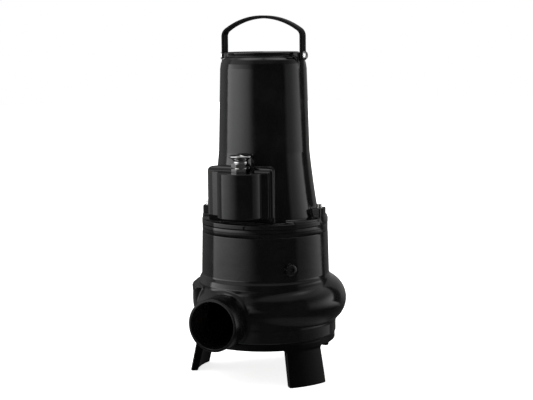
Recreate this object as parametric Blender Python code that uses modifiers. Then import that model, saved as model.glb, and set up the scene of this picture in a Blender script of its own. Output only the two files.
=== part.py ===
"""Submersible sewage pump standing on three feet, in metres with +Z up.

The pump axis is vertical. The outlet and the terminal cover face -Y, the handle spans X.
Every length below is in millimetres and is measured from the pump axis and from the floor.
"""

import math

import bmesh
import bpy

MM = 0.001

# Where the pump axis stands, so that the middle of the whole box lies on the origin
AXIS_X = 1.8
AXIS_Y = 8.3

# Turned shapes
STEPS = 64
FINE_STEPS = 28
GAP = 0.3

# Heights of the joints between the castings, from the floor
COVER_TOP = 554.2
COVER_JOINT = 549.6
MOTOR_JOINT = 262.8
OIL_JOINT = 249.4
SUCTION_JOINT = 73.0
SUCTION_FACE = 61.0
CHAMBER_TOP = 157.0

# Radii of the castings
MOTOR_TOP_R = 73.8
FLANGE_R = 108.2
OIL_TOP_R = 108.5
OIL_LOW_R = 110.3
CASING_NECK_R = 114.8
CASING_R = 122.0
CASING_RIM_R = 121.2
RIM_R = 119.5
CHAMBER_R = 104.0
NOTCH_ANGLE = 8.7

# Volute passage
VOLUTE_Z = 129.0
VOLUTE_SECTION = 44.0
VOLUTE_WALL = 11.0
VOLUTE_FLATTER = 0.97
VOLUTE_START_R = 77.5
VOLUTE_GROWTH = 26.5
VOLUTE_START = 10.0
VOLUTE_WIDEST = 230.0
VOLUTE_END = 322.0

# Squared end of the volute beside the outlet
END_BLOCK = (-98.0, -44.0)
END_BLOCK_R = 126.4
END_BLOCK_TOP = 157.0

# Outlet pipe end
OUTLET_X = -17.0
OUTLET_Z = 110.0
OUTLET_R = 44.4
OUTLET_BORE_R = 39.5
OUTLET_FACE_Y = -163.0
OUTLET_COLLAR_Y = -119.0

# Lifting handle, a flat bar bent over the top
HANDLE_HALF_SPAN = 76.7
HANDLE_TOP = 615.3
HANDLE_BAR = 5.0
HANDLE_WIDTH = 16.5
HANDLE_FOOT = 540.0
HANDLE_ARCH_R = 123.0
HANDLE_CORNER_R = 16.0
HANDLE_BOLT_Z = 548.0
HANDLE_HOLE_R = 3.4
PAD_FACE_X = 71.4
PAD_TOP = 553.0

# Terminal box and cable gland
BOX_HALF_WIDTH = 63.4
BOX_FRONT_Y = -87.0
BOX_BACK_Y = -40.0
BOX_TAPER = 0.45
BOX_LOW = 266.0
BOX_TOP = 366.0
COVER_HALF_WIDTH = 52.8
COVER_FRONT_Y = -91.2
COVER_LOW = 282.0
COVER_HIGH = 357.2
COVER_SLOPE = 5.0
BOSS_R = 39.5
GLAND_X = 3.0
GLAND_Y = -93.0
GLAND_RECESS_R = 21.0
GLAND_HEXAGON = 27.0
GLAND_WAY_R = 9.6

# Screws and plugs
LUGS = (("right", 94.0), ("left", -76.0), ("rear", 185.0))
LUG_HALF = 7.5
LUG_TOP = 291.5
LUG_SCREW_R = 100.0
LUG_HOLE_R = 3.4
PLUGS = (("front", 49.3), ("rear", 229.3))
OIL_PLUG_Z = 195.0
PLUG_SEAT_R = 110.0
PLUG_FACE_R = 12.0
PLUG_FACE_DEPTH = 1.4
BASE_BOLT_R = 111.0
BASE_HOLE_R = 3.8
BASE_BOLT_ANGLES = (92.0, 212.0, 332.0)

# Feet, as angles from the front towards +X
FEET = (("right", 60.0), ("left", -79.0), ("rear", 174.0))
FOOT_TOP_HALF = 17.1
FOOT_LOW_HALF = 16.3
FOOT_TOP_R = 120.2
FOOT_SPLAY = 12.6
FOOT_THICKNESS = 15.5
FOOT_TAPER = 3.0
FOOT_STEPS = ((72.0, 0.0), (61.0, 0.0), (40.0, 0.0), (20.0, 0.0), (5.0, 0.0), (1.4, 0.5), (0.0, 1.8))

# Suction side
INLET_R = 47.0
RING_R = 41.0
IMPELLER_R = 80.0
SHAFT_R = 14.0


def clear_scene():
    """Removes the start-up objects and collections."""
    for obj in list(bpy.data.objects):
        bpy.data.objects.remove(obj, do_unlink=True)
    for group in list(bpy.data.collections):
        bpy.data.collections.remove(group)


def new_collection(name):
    group = bpy.data.collections.new(name)
    bpy.context.scene.collection.children.link(group)
    return group


def new_material(name, colour, metallic, roughness, coat=0.0):
    material = bpy.data.materials.new(name)
    material.use_nodes = True
    shader = material.node_tree.nodes["Principled BSDF"]
    shader.inputs["Base Color"].default_value = (*colour, 1.0)
    shader.inputs["Metallic"].default_value = metallic
    shader.inputs["Roughness"].default_value = roughness
    shader.inputs["Coat Weight"].default_value = coat
    return material


def polar(radius, angle):
    """Point at an angle in degrees from the front, turning towards +X."""
    turn = math.radians(angle)
    return radius * math.sin(turn), -radius * math.cos(turn)


def add_object(name, mesh, group, material=None):
    obj = bpy.data.objects.new(name, mesh)
    group.objects.link(obj)
    obj.parent = ROOT
    if material:
        obj.data.materials.append(material)
    return obj


def from_bmesh(name, shape, group, material=None):
    bmesh.ops.recalc_face_normals(shape, faces=shape.faces)
    mesh = bpy.data.meshes.new(name)
    shape.to_mesh(mesh)
    shape.free()
    return add_object(name, mesh, group, material)


def hide_cutter(obj):
    obj.hide_render = True
    obj.display_type = "WIRE"
    return obj


def combine(obj, other, operation):
    modifier = obj.modifiers.new(operation.lower() + "_" + other.name, "BOOLEAN")
    modifier.operation = operation
    modifier.solver = "EXACT"
    modifier.object = other
    hide_cutter(other)
    return obj


def round_edges(obj, width, segments=2, angle=35.0):
    modifier = obj.modifiers.new("round", "BEVEL")
    modifier.width = width * MM
    modifier.segments = segments
    modifier.limit_method = "ANGLE"
    modifier.angle_limit = math.radians(angle)
    return obj


def turned(name, profile, group, material=None, steps=STEPS, closed=False):
    """Turns a profile of radius and height pairs round the axis of the object."""
    mesh = bpy.data.meshes.new(name)
    points = [(r * MM, 0.0, z * MM) for r, z in profile]
    edges = [(i, i + 1) for i in range(len(points) - 1)]
    if closed:
        edges.append((len(points) - 1, 0))
    mesh.from_pydata(points, edges, [])
    obj = add_object(name, mesh, group, material)
    screw = obj.modifiers.new("turn", "SCREW")
    screw.axis = "Z"
    screw.angle = math.tau
    screw.steps = steps
    screw.render_steps = steps
    screw.use_merge_vertices = True
    screw.merge_threshold = 0.00001
    screw.use_smooth_shade = True
    return obj


def cylinder(name, radius, low, high, group, material=None, steps=FINE_STEPS, chamfer=0.0):
    if chamfer:
        profile = [(0, high), (radius - chamfer, high), (radius, high - chamfer)]
        profile += [(radius, low + chamfer), (radius - chamfer, low), (0, low)]
    else:
        profile = [(0, high), (radius, high), (radius, low), (0, low)]
    return turned(name, profile, group, material, steps)


def box(name, low, high, group, material=None):
    shape = bmesh.new()
    bmesh.ops.create_cube(shape, size=1.0)
    for corner in shape.verts:
        for axis in range(3):
            middle = (low[axis] + high[axis]) / 2
            size = high[axis] - low[axis]
            corner.co[axis] = (middle + corner.co[axis] * size) * MM
    return from_bmesh(name, shape, group, material)


def prism(name, outline, low, high, group, material=None):
    """Upright block over an outline of x and y pairs."""
    shape = bmesh.new()
    bottom = [shape.verts.new((x * MM, y * MM, low * MM)) for x, y in outline]
    face = shape.faces.new(bottom)
    made = bmesh.ops.extrude_face_region(shape, geom=[face])
    for item in made["geom"]:
        if isinstance(item, bmesh.types.BMVert):
            item.co.z = high * MM
    return from_bmesh(name, shape, group, material)


def hexagon(across_flats):
    radius = across_flats / math.sqrt(3.0)
    turns = [math.tau * (i + 0.5) / 6 for i in range(6)]
    return [(radius * math.cos(a), radius * math.sin(a)) for a in turns]


def loft(name, rings, group, material=None, closed=False):
    """Joins rings of equal length, with flat ends unless the last meets the first."""
    shape = bmesh.new()
    rows = [[shape.verts.new([value * MM for value in point]) for point in ring] for ring in rings]
    pairs = list(zip(rows, rows[1:]))
    if closed:
        pairs.append((rows[-1], rows[0]))
    count = len(rows[0])
    for first, second in pairs:
        for i in range(count):
            j = (i + 1) % count
            shape.faces.new((first[i], first[j], second[j], second[i]))
    if not closed:
        shape.faces.new(rows[0])
        shape.faces.new(list(reversed(rows[-1])))
    return from_bmesh(name, shape, group, material)


def ellipse_xz(x, y, z, half_x, half_z, power=2.0, count=40):
    """Upright ring facing Y, squarer as the power grows."""
    ring = []
    for i in range(count):
        turn = math.tau * i / count
        cosine = math.cos(turn)
        sine = math.sin(turn)
        ring.append((
            x + half_x * math.copysign(abs(cosine) ** (2 / power), cosine),
            y,
            z + half_z * math.copysign(abs(sine) ** (2 / power), sine),
        ))
    return ring


def put(obj, x, y, z, tilt=0.0, turn=0.0):
    """Moves an object built round its own +Z, tilting it over and turning it from the front."""
    obj.location = (x * MM, y * MM, z * MM)
    obj.rotation_euler = (math.radians(tilt), 0.0, math.radians(turn))
    return obj


def volute_radius(angle):
    """Radius of the middle of the volute passage at an angle from the front."""
    angle %= 360.0
    if angle <= VOLUTE_START or angle >= VOLUTE_END:
        return VOLUTE_START_R
    if angle <= VOLUTE_WIDEST:
        part = (angle - VOLUTE_START) / (VOLUTE_WIDEST - VOLUTE_START)
        return VOLUTE_START_R + VOLUTE_GROWTH * math.sin(math.pi / 2 * part)
    part = (angle - VOLUTE_WIDEST) / (VOLUTE_END - VOLUTE_WIDEST)
    return VOLUTE_START_R + VOLUTE_GROWTH * math.cos(math.pi / 2 * part) ** 2


def volute(name, half, group, sides):
    """Spiral passage round the chamber, squarer on the side that leads to the outlet."""
    rings = []
    for step in range(2 * sides):
        angle = 180.0 * step / sides
        middle = volute_radius(angle)
        square = 0.5 - 0.5 * math.cos(math.radians(max(0.0, min(360.0, (angle - 150.0) * 1.9))))
        power = 2.0 + 1.2 * square
        ring = []
        for i in range(sides):
            turn = math.tau * i / sides
            out = math.copysign(abs(math.cos(turn)) ** (2 / power), math.cos(turn))
            up = math.copysign(abs(math.sin(turn)) ** (2 / power), math.sin(turn))
            x, y = polar(middle + half * out, angle)
            ring.append((x, y, VOLUTE_Z + half * VOLUTE_FLATTER * up))
        rings.append(ring)
    return loft(name, rings, group, closed=True)


def make_motor_housing():
    """Tapered motor shell with its flange, screw lugs, handle pads and terminal box."""
    profile = [(0, COVER_JOINT - GAP), (60.6, COVER_JOINT - GAP), (61.3, 548.6), (61.3, 546.8)]
    profile += [(62.6, 546.1), (66.0, 544.8), (69.0, 542.3), (71.1, 539.2), (72.4, 535.2)]
    profile += [(73.3, 531.0), (MOTOR_TOP_R, 526.0), (77.9, 386.0), (80.2, 364.0), (84.1, 332.0)]
    profile += [(87.7, 306.0), (91.3, 285.0), (93.2, 277.5), (95.6, 272.6), (98.4, 271.0)]
    profile += [(107.0, 271.0), (FLANGE_R, 269.8), (FLANGE_R, 264.0), (107.2, MOTOR_JOINT)]
    profile += [(0, MOTOR_JOINT)]
    housing = turned("motor_housing", profile, PARTS, PAINT)
    room = BOX_HALF_WIDTH - 2.5
    flat = box("front_flat", (-room, -130, 271.6), (room, BOX_FRONT_Y + 1, BOX_TOP), CUTTERS)
    combine(housing, flat, "DIFFERENCE")
    corner = 4.0
    back = BOX_HALF_WIDTH - BOX_TAPER * (BOX_BACK_Y - BOX_FRONT_Y)
    outline = [(-back, BOX_BACK_Y), (-BOX_HALF_WIDTH + corner * BOX_TAPER, BOX_FRONT_Y + corner)]
    outline += [(-BOX_HALF_WIDTH + corner * 0.3, BOX_FRONT_Y + corner * 0.3)]
    outline += [(-BOX_HALF_WIDTH + corner, BOX_FRONT_Y)]
    outline += [(-x, y) for x, y in reversed(outline)]
    terminal_box = prism("box_block", outline, BOX_LOW, BOX_TOP, CUTTERS)
    round_edges(terminal_box, 3.0, 2, 60.0)
    combine(housing, terminal_box, "UNION")
    recess = cylinder("gland_recess", GLAND_RECESS_R, COVER_HIGH, BOX_TOP + 20, CUTTERS)
    combine(housing, put(recess, GLAND_X, GLAND_Y, 0), "DIFFERENCE")
    for side in (-1, 1):
        ends = sorted((side * 61.8, side * PAD_FACE_X))
        pad = box(f"pad_block_{side}", (ends[0], -11, 530), (ends[1], 11, PAD_TOP), CUTTERS)
        combine(housing, round_edges(pad, 1.5), "UNION")
        raised = sector(88, 107.6, side * 90 - 39, side * 90 + 39)
        combine(housing, prism(f"raised_pad_{side}", raised, 268, 275, CUTTERS), "UNION")
        bore = cylinder(f"handle_bore_{side}", HANDLE_HOLE_R, -16, 16, CUTTERS, steps=24)
        put(bore, side * 74, 0, HANDLE_BOLT_Z, 90, 90)
        combine(housing, bore, "DIFFERENCE")
    for name, angle in LUGS:
        lug = sector(80, FLANGE_R - 0.5, angle - LUG_HALF, angle + LUG_HALF)
        combine(housing, prism(f"lug_{name}", lug, 266, LUG_TOP, CUTTERS), "UNION")
        x, y = polar(LUG_SCREW_R, angle)
        hole = cylinder(f"lug_hole_{name}", LUG_HOLE_R, LUG_TOP - 22, LUG_TOP + 5, CUTTERS, steps=24)
        combine(housing, put(hole, x, y, 0), "DIFFERENCE")
    notch = box("notch", (-1.5, -FLANGE_R - 4, 262), (1.5, -FLANGE_R + 1.6, 269), CUTTERS)
    combine(housing, put(notch, 0, 0, 0, 0, NOTCH_ANGLE), "DIFFERENCE")
    return housing


def sector(inner, outer, start, end, count=10):
    """Outline of a ring sector between two angles from the front."""
    turns = [start + (end - start) * i / count for i in range(count + 1)]
    return [polar(outer, a) for a in turns] + [polar(inner, a) for a in reversed(turns)]


def make_top_cover():
    """Round cover plate over the motor."""
    profile = [(0, COVER_TOP), (59.8, COVER_TOP), (61.3, COVER_TOP - 1.4)]
    profile += [(61.3, COVER_JOINT + 1.0), (60.6, COVER_JOINT), (0, COVER_JOINT)]
    return turned("top_cover", profile, PARTS, PAINT)


def handle_path():
    """Outer line of the bent bar on the +X side, from its foot up to the top."""
    arch_z = HANDLE_TOP - HANDLE_ARCH_R
    corner_x = HANDLE_HALF_SPAN - HANDLE_CORNER_R
    reach = HANDLE_ARCH_R - HANDLE_CORNER_R
    corner_z = arch_z + math.sqrt(reach**2 - corner_x**2)
    meet = math.atan2(corner_z - arch_z, corner_x)
    path = [(HANDLE_HALF_SPAN, HANDLE_FOOT)]
    for i in range(9):
        turn = meet * i / 8
        x = corner_x + HANDLE_CORNER_R * math.cos(turn)
        path.append((x, corner_z + HANDLE_CORNER_R * math.sin(turn)))
    for i in range(1, 11):
        turn = meet + (math.pi / 2 - meet) * i / 10
        path.append((HANDLE_ARCH_R * math.cos(turn), arch_z + HANDLE_ARCH_R * math.sin(turn)))
    return path


def make_handle():
    """Flat bar bent into an arch, with a bolt hole near each end."""
    right = handle_path()
    outer = right + [(-x, z) for x, z in reversed(right[:-1])]
    inner = []
    for i, (x, z) in enumerate(outer):
        before = outer[max(i - 1, 0)]
        after = outer[min(i + 1, len(outer) - 1)]
        along = (after[0] - before[0], after[1] - before[1])
        length = math.hypot(*along)
        inner.append((x - along[1] / length * HANDLE_BAR, z + along[0] / length * HANDLE_BAR))
    outline = outer + list(reversed(inner))
    curve = bpy.data.curves.new("handle_curve", "CURVE")
    curve.dimensions = "2D"
    curve.fill_mode = "BOTH"
    curve.extrude = HANDLE_WIDTH / 2 * MM
    spline = curve.splines.new("POLY")
    spline.points.add(len(outline) - 1)
    for point, (x, z) in zip(spline.points, outline):
        point.co = (x * MM, z * MM, 0.0, 1.0)
    spline.use_cyclic_u = True
    drawn = bpy.data.objects.new("handle_drawn", curve)
    CUTTERS.objects.link(drawn)
    hide_cutter(drawn)
    bpy.context.view_layer.update()
    graph = bpy.context.evaluated_depsgraph_get()
    shape = bmesh.new()
    shape.from_mesh(bpy.data.meshes.new_from_object(drawn.evaluated_get(graph)))
    bmesh.ops.remove_doubles(shape, verts=shape.verts, dist=0.00001)
    handle = from_bmesh("lifting_handle", shape, PARTS, PAINT)
    put(handle, 0, 0, 0, 90)
    round_edges(handle, 0.8, 1, 60.0)
    for side in (-1, 1):
        bore = cylinder(f"handle_hole_{side}", HANDLE_HOLE_R, -8, 8, CUTTERS, steps=24)
        put(bore, side * 74, 0, HANDLE_BOLT_Z, 90, 90)
        combine(handle, bore, "DIFFERENCE")
    return handle


def bolt(name, head, shank, material, hexagonal=True):
    """Bolt built upwards from the face its head rests on. head and shank are size and length."""
    if hexagonal:
        obj = prism(name, hexagon(head[0]), 0, head[1], PARTS, material)
        round_edges(obj, 0.5, 1)
    else:
        radius = head[0] / 2
        top = head[1]
        profile = [(0, top), (radius - 0.7, top), (radius, top - 0.7), (radius, 0), (0, 0)]
        obj = turned(name, profile, PARTS, material, FINE_STEPS)
        socket = prism(name + "_socket", hexagon(head[0] * 0.5), head[1] * 0.45, head[1] + 2, CUTTERS)
        socket.parent = obj
        combine(obj, socket, "DIFFERENCE")
    stem = cylinder(name + "_stem", shank[0], -shank[1], 1.0, CUTTERS, steps=20, chamfer=0.4)
    stem.parent = obj
    combine(obj, stem, "UNION")
    return obj


def make_terminal_cover():
    """Cover of the terminal box with the half round boss that carries the gland."""
    front = COVER_FRONT_Y
    half = COVER_HALF_WIDTH
    outline = [(-half, BOX_FRONT_Y - GAP), (-half, front + 2.0), (-half + 2.0, front)]
    outline += [(GLAND_X - BOSS_R + 1, front - COVER_SLOPE), (GLAND_X + BOSS_R - 1, front - COVER_SLOPE)]
    outline += [(-x, y) for x, y in reversed(outline[:3])]
    cover = prism("terminal_cover", outline, COVER_LOW, COVER_HIGH, PARTS, PAINT)
    round_edges(cover, 1.0, 2, 50.0)
    profile = [(0, COVER_HIGH), (BOSS_R - 6, COVER_HIGH), (BOSS_R - 3, COVER_HIGH - 0.8)]
    profile += [(BOSS_R - 0.8, COVER_HIGH - 3), (BOSS_R, COVER_HIGH - 6)]
    profile += [(BOSS_R, COVER_LOW - 1), (0, COVER_LOW - 1)]
    boss = turned("boss_block", profile, CUTTERS)
    put(boss, GLAND_X, GLAND_Y, 0)
    behind = box("behind", (-70, BOX_FRONT_Y - GAP, 200), (70, 0, 400), CUTTERS)
    combine(boss, behind, "DIFFERENCE")
    combine(cover, boss, "UNION")
    return cover


def make_gland():
    """Cable gland: a hexagon screwed into the boss, a flared clamping nut and its rubber seal."""
    seat = COVER_HIGH + GAP
    base = prism("gland_base", hexagon(GLAND_HEXAGON), seat, seat + 6.5, PARTS, STEEL)
    put(base, GLAND_X, GLAND_Y, 0)
    round_edges(base, 0.8, 1)
    pipe = [(GLAND_WAY_R, seat + 13), (11.4, seat + 13), (11.4, seat + 5), (GLAND_WAY_R, seat + 5)]
    neck = turned("gland_neck", pipe, CUTTERS, steps=FINE_STEPS, closed=True)
    put(neck, GLAND_X, GLAND_Y, 0)
    combine(base, neck, "UNION")
    way = cylinder("gland_way", GLAND_WAY_R, seat - 2, seat + 20, CUTTERS)
    put(way, GLAND_X, GLAND_Y, 0)
    combine(base, way, "DIFFERENCE")
    low = seat + 7.2
    nut = prism("gland_nut", hexagon(GLAND_HEXAGON), low, low + 8, PARTS, STEEL)
    put(nut, GLAND_X, GLAND_Y, 0)
    round_edges(nut, 0.8, 1)
    bell = [(8.2, low + 20.5), (18.4, low + 20.5), (19.8, low + 19.6), (20.0, low + 18.4)]
    bell += [(18.6, low + 16.6), (14.4, low + 14.4), (12.4, low + 12.4), (12.0, low + 10.4)]
    bell += [(12.6, low + 6), (8.2, low + 6)]
    flare = turned("gland_flare", bell, CUTTERS, steps=FINE_STEPS, closed=True)
    put(flare, GLAND_X, GLAND_Y, 0)
    combine(nut, flare, "UNION")
    mouth = [(0, low + 24), (17.4, low + 24), (16.6, low + 20.0), (12.6, low + 17.6)]
    mouth += [(9.8, low + 15.0), (9.6, low + 12.0), (11.7, low + 11.9), (11.7, low - 3)]
    mouth += [(0, low - 3)]
    opening = turned("gland_opening", mouth, CUTTERS, steps=FINE_STEPS)
    put(opening, GLAND_X, GLAND_Y, 0)
    combine(nut, opening, "DIFFERENCE")
    ring = [(5.5, seat + 12.6), (9.3, seat + 12.6), (9.3, seat + 2.0), (5.5, seat + 2.0)]
    seal = turned("gland_seal", ring, PARTS, RUBBER, FINE_STEPS, closed=True)
    put(seal, GLAND_X, GLAND_Y, 0)


def make_intermediate_ring():
    """Plain ring clamped between the motor flange and the oil housing."""
    low = OIL_JOINT + GAP
    high = MOTOR_JOINT - GAP
    profile = [(0, high), (107.2, high), (FLANGE_R, high - 1.0), (FLANGE_R, 257.4), (107.3, 256.7)]
    profile += [(FLANGE_R, 256.0), (FLANGE_R, low + 1.0), (107.4, low), (0, low)]
    return turned("intermediate_ring", profile, PARTS, PAINT)


def make_casing():
    """Oil housing and volute cast in one, hollow below, with the outlet pipe at the front."""
    profile = [(0, OIL_JOINT), (107.4, OIL_JOINT), (OIL_TOP_R, OIL_JOINT - 1.1), (OIL_LOW_R, 178.0)]
    profile += [(110.9, 173.6), (112.2, 169.0), (113.6, 164.6), (CASING_NECK_R, 160.0)]
    profile += [(CASING_NECK_R, 137.0), (CASING_R, 127.0), (CASING_R, 96.6), (CASING_RIM_R, 94.4)]
    profile += [(CASING_RIM_R, SUCTION_JOINT + 1.4), (CASING_RIM_R - 1.4, SUCTION_JOINT)]
    profile += [(0, SUCTION_JOINT)]
    casing = turned("pump_casing", profile, PARTS, PAINT)
    combine(casing, volute("volute_outside", VOLUTE_SECTION, CUTTERS, 24), "UNION")
    end = prism("end_block", sector(90, END_BLOCK_R, *END_BLOCK), 106, END_BLOCK_TOP, CUTTERS)
    combine(casing, round_edges(end, 2.5, 2, 60.0), "UNION")
    neck = [ellipse_xz(-43, -42, 121, 57, 41, 2.6), ellipse_xz(-40, -74, 119, 56, 42.4, 2.4)]
    neck += [ellipse_xz(-30, -98, 115, 50, 43.6, 2.15), ellipse_xz(-20, -114, 111.4, 45.4, 43.6)]
    neck += [ellipse_xz(OUTLET_X, -123, OUTLET_Z, 42.6, 42.6)]
    combine(casing, loft("neck_outside", neck, CUTTERS), "UNION")
    length = OUTLET_COLLAR_Y - OUTLET_FACE_Y
    rim = [(0, length), (OUTLET_R - 1.6, length), (OUTLET_R, length - 1.6), (OUTLET_R, 0), (0, 0)]
    collar = turned("collar", rim, CUTTERS, steps=48)
    put(collar, OUTLET_X, OUTLET_COLLAR_Y, OUTLET_Z, 90)
    combine(casing, collar, "UNION")
    rim_room = cylinder("rim_room", RIM_R + 1.6, 40, SUCTION_JOINT + 0.1, CUTTERS, steps=STEPS)
    combine(casing, rim_room, "DIFFERENCE")
    shaft_way = SHAFT_R + GAP
    hollow = [(0, 200), (shaft_way, 200), (shaft_way, CHAMBER_TOP), (CHAMBER_R, CHAMBER_TOP)]
    hollow += [(CHAMBER_R, 60), (0, 60)]
    combine(casing, turned("chamber", hollow, CUTTERS), "DIFFERENCE")
    combine(casing, volute("volute_inside", VOLUTE_SECTION - VOLUTE_WALL, CUTTERS, 16), "DIFFERENCE")
    for name, angle in PLUGS:
        x, y = polar(PLUG_SEAT_R, angle)
        hole = cylinder(f"plug_hole_{name}", 6.4, -14, 6, CUTTERS, steps=24)
        put(hole, x, y, OIL_PLUG_Z, 90, angle)
        combine(casing, hole, "DIFFERENCE")
        face = cylinder(f"plug_face_{name}", PLUG_FACE_R, -PLUG_FACE_DEPTH, 8, CUTTERS, steps=24)
        put(face, x, y, OIL_PLUG_Z, 90, angle)
        combine(casing, face, "DIFFERENCE")
    for angle in BASE_BOLT_ANGLES:
        x, y = polar(BASE_BOLT_R, angle)
        hole = cylinder(f"base_hole_{angle:.0f}", BASE_HOLE_R, 60, 90, CUTTERS, steps=20)
        combine(casing, put(hole, x, y, 0), "DIFFERENCE")
    inside = [ellipse_xz(-44, -30, 120, 46, 31, 2.6), ellipse_xz(-36, -74, 118, 43, 33, 2.4)]
    inside += [ellipse_xz(-24, -98, 113.5, 40, 36.5, 2.15)]
    inside += [ellipse_xz(-17.6, -116, 110.8, OUTLET_BORE_R, 38.8)]
    for y in (-124, OUTLET_FACE_Y - 10):
        inside.append(ellipse_xz(OUTLET_X, y, OUTLET_Z, OUTLET_BORE_R, OUTLET_BORE_R))
    combine(casing, loft("water_way", inside, CUTTERS), "DIFFERENCE")
    return casing


def foot_rings(angle):
    """Curved plate that leans outwards from the rim down to the floor."""
    rings = []
    for height, narrower in FOOT_STEPS:
        lean = max(1 - height / SUCTION_FACE, 0.0)
        outer = FOOT_TOP_R + FOOT_SPLAY * lean
        inner = outer - FOOT_THICKNESS + FOOT_TAPER * lean
        half = FOOT_TOP_HALF + (FOOT_LOW_HALF - FOOT_TOP_HALF) * lean - narrower
        ring = []
        for i in range(9):
            ring.append((*polar(outer, angle - half + half * i / 4), height))
        for i in range(9):
            ring.append((*polar(inner, angle + half - half * i / 4), height))
        rings.append(ring)
    return rings


def make_suction_cover():
    """Bottom cover with the inlet and the three feet cast on."""
    top = SUCTION_JOINT - GAP
    profile = [(INLET_R, 80.0), (CHAMBER_R - GAP, 80.0), (CHAMBER_R - GAP, top), (118.3, top)]
    profile += [(RIM_R, top - 1.3), (RIM_R, 62.5), (118.0, SUCTION_FACE), (62.0, SUCTION_FACE)]
    profile += [(58.0, 57.0), (INLET_R, 57.0)]
    cover = turned("suction_cover", profile, PARTS, PAINT, closed=True)
    for name, angle in FEET:
        foot = loft(f"foot_{name}", foot_rings(angle), CUTTERS)
        combine(cover, foot, "UNION")
    for angle in BASE_BOLT_ANGLES:
        x, y = polar(BASE_BOLT_R, angle)
        hole = cylinder(f"cover_hole_{angle:.0f}", BASE_HOLE_R, 50, 90, CUTTERS, steps=20)
        combine(cover, put(hole, x, y, 0), "DIFFERENCE")
    return cover


def make_wet_end():
    """Wear ring, impeller, its bolt and the shaft end, seen through the inlet and the outlet."""
    outer = INLET_R - GAP
    ring = [(RING_R, 80.0), (outer, 80.0), (outer, 58.4), (outer - 1.2, 57.2)]
    ring += [(RING_R + 1, 57.2), (RING_R, 58.4)]
    turned("wear_ring", ring, PARTS, BRONZE, closed=True)
    disc = [(0, 146), (SHAFT_R + 8, 146), (SHAFT_R + 10, 142), (IMPELLER_R, 140), (IMPELLER_R, 135)]
    disc += [(30, 133), (24, 126), (22, 104), (19, 100), (0, 100)]
    impeller = turned("impeller", disc, PARTS, IRON)
    for turn in (0, 120, 240):
        vane = vane_outline(turn)
        combine(impeller, prism(f"vane_{turn}", vane, 86, 137, CUTTERS), "UNION")
    socket = cylinder("shaft_socket", SHAFT_R + GAP, 118, 160, CUTTERS)
    combine(impeller, socket, "DIFFERENCE")
    bolt_way = cylinder("bolt_way", 5.4, 90, 130, CUTTERS, steps=24)
    combine(impeller, bolt_way, "DIFFERENCE")
    shaft = cylinder("shaft", SHAFT_R, 118 + GAP, 199, PARTS, STEEL, chamfer=1.0)
    tapped = cylinder("tapped", 5.4, 100, 136, CUTTERS, steps=24)
    combine(shaft, tapped, "DIFFERENCE")
    screw = bolt("impeller_bolt", (18, 9), (5.0, 32), STEEL)
    put(screw, 0, 0, 100 - GAP, 180)


def vane_outline(turn, count=8, half=3.2):
    """Backward curved vane from the hub to the rim of the impeller."""
    middle = []
    for i in range(count + 1):
        part = i / count
        middle.append(polar(20 + (IMPELLER_R - 22) * part, turn - 95 * part))
    sides = ([], [])
    for i, (x, y) in enumerate(middle):
        before = middle[max(i - 1, 0)]
        after = middle[min(i + 1, count)]
        along = (after[0] - before[0], after[1] - before[1])
        length = math.hypot(*along)
        across = (-along[1] / length * half, along[0] / length * half)
        sides[0].append((x + across[0], y + across[1]))
        sides[1].append((x - across[0], y - across[1]))
    return sides[0] + list(reversed(sides[1]))


def make_screws():
    """Handle bolts, flange screws, oil plugs and the bolts under the rim."""
    for name, side in (("left", -1), ("right", 1)):
        obj = bolt(f"handle_bolt_{name}", (11.5, 4.6), (3.0, 13.5), STEEL)
        put(obj, side * (HANDLE_HALF_SPAN + GAP), 0, HANDLE_BOLT_Z, 90, side * 90)
    for name, angle in LUGS:
        x, y = polar(LUG_SCREW_R, angle)
        obj = bolt(f"flange_screw_{name}", (10, 6), (3.0, 20), STEEL, False)
        put(obj, x, y, LUG_TOP + GAP)
    for name, angle in PLUGS:
        x, y = polar(PLUG_SEAT_R - PLUG_FACE_DEPTH + GAP, angle)
        obj = bolt(f"oil_plug_{name}", (19, 6.0), (6.0, 12), PLUG_STEEL, False)
        put(obj, x, y, OIL_PLUG_Z, 90, angle)
    for index, angle in enumerate(BASE_BOLT_ANGLES):
        x, y = polar(BASE_BOLT_R, angle)
        obj = bolt(f"base_bolt_{index + 1}", (12, 5), (3.4, 28), PAINT, False)
        put(obj, x, y, SUCTION_FACE - GAP, 180)


clear_scene()
PARTS = new_collection("submersible_pump")
CUTTERS = new_collection("cutters")
CUTTERS.hide_render = True
ROOT = bpy.data.objects.new("pump_axis", None)
ROOT.location = (AXIS_X * MM, AXIS_Y * MM, 0.0)
PARTS.objects.link(ROOT)
PAINT = new_material("black_paint", (0.006, 0.006, 0.007), 0.0, 0.22, 0.6)
STEEL = new_material("bright_steel", (0.62, 0.62, 0.61), 1.0, 0.22)
PLUG_STEEL = new_material("plug_steel", (0.18, 0.18, 0.18), 1.0, 0.35)
RUBBER = new_material("seal_rubber", (0.012, 0.012, 0.012), 0.0, 0.65)
BRONZE = new_material("ring_bronze", (0.42, 0.27, 0.11), 1.0, 0.35)
IRON = new_material("cast_iron", (0.05, 0.048, 0.046), 0.6, 0.55)
make_motor_housing()
make_top_cover()
make_handle()
make_terminal_cover()
make_gland()
make_intermediate_ring()
make_casing()
make_suction_cover()
make_wet_end()
make_screws()
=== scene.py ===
"""Looks of the submersible sewage pump: castings in black enamel, a plated gland, screws and a studio.

Lengths are in millimetres from the pump axis and the floor, and angles run from the front towards +X.
"""

import itertools
import math

import bmesh
import bpy
import numpy as np
from mathutils import Matrix, Vector


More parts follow.
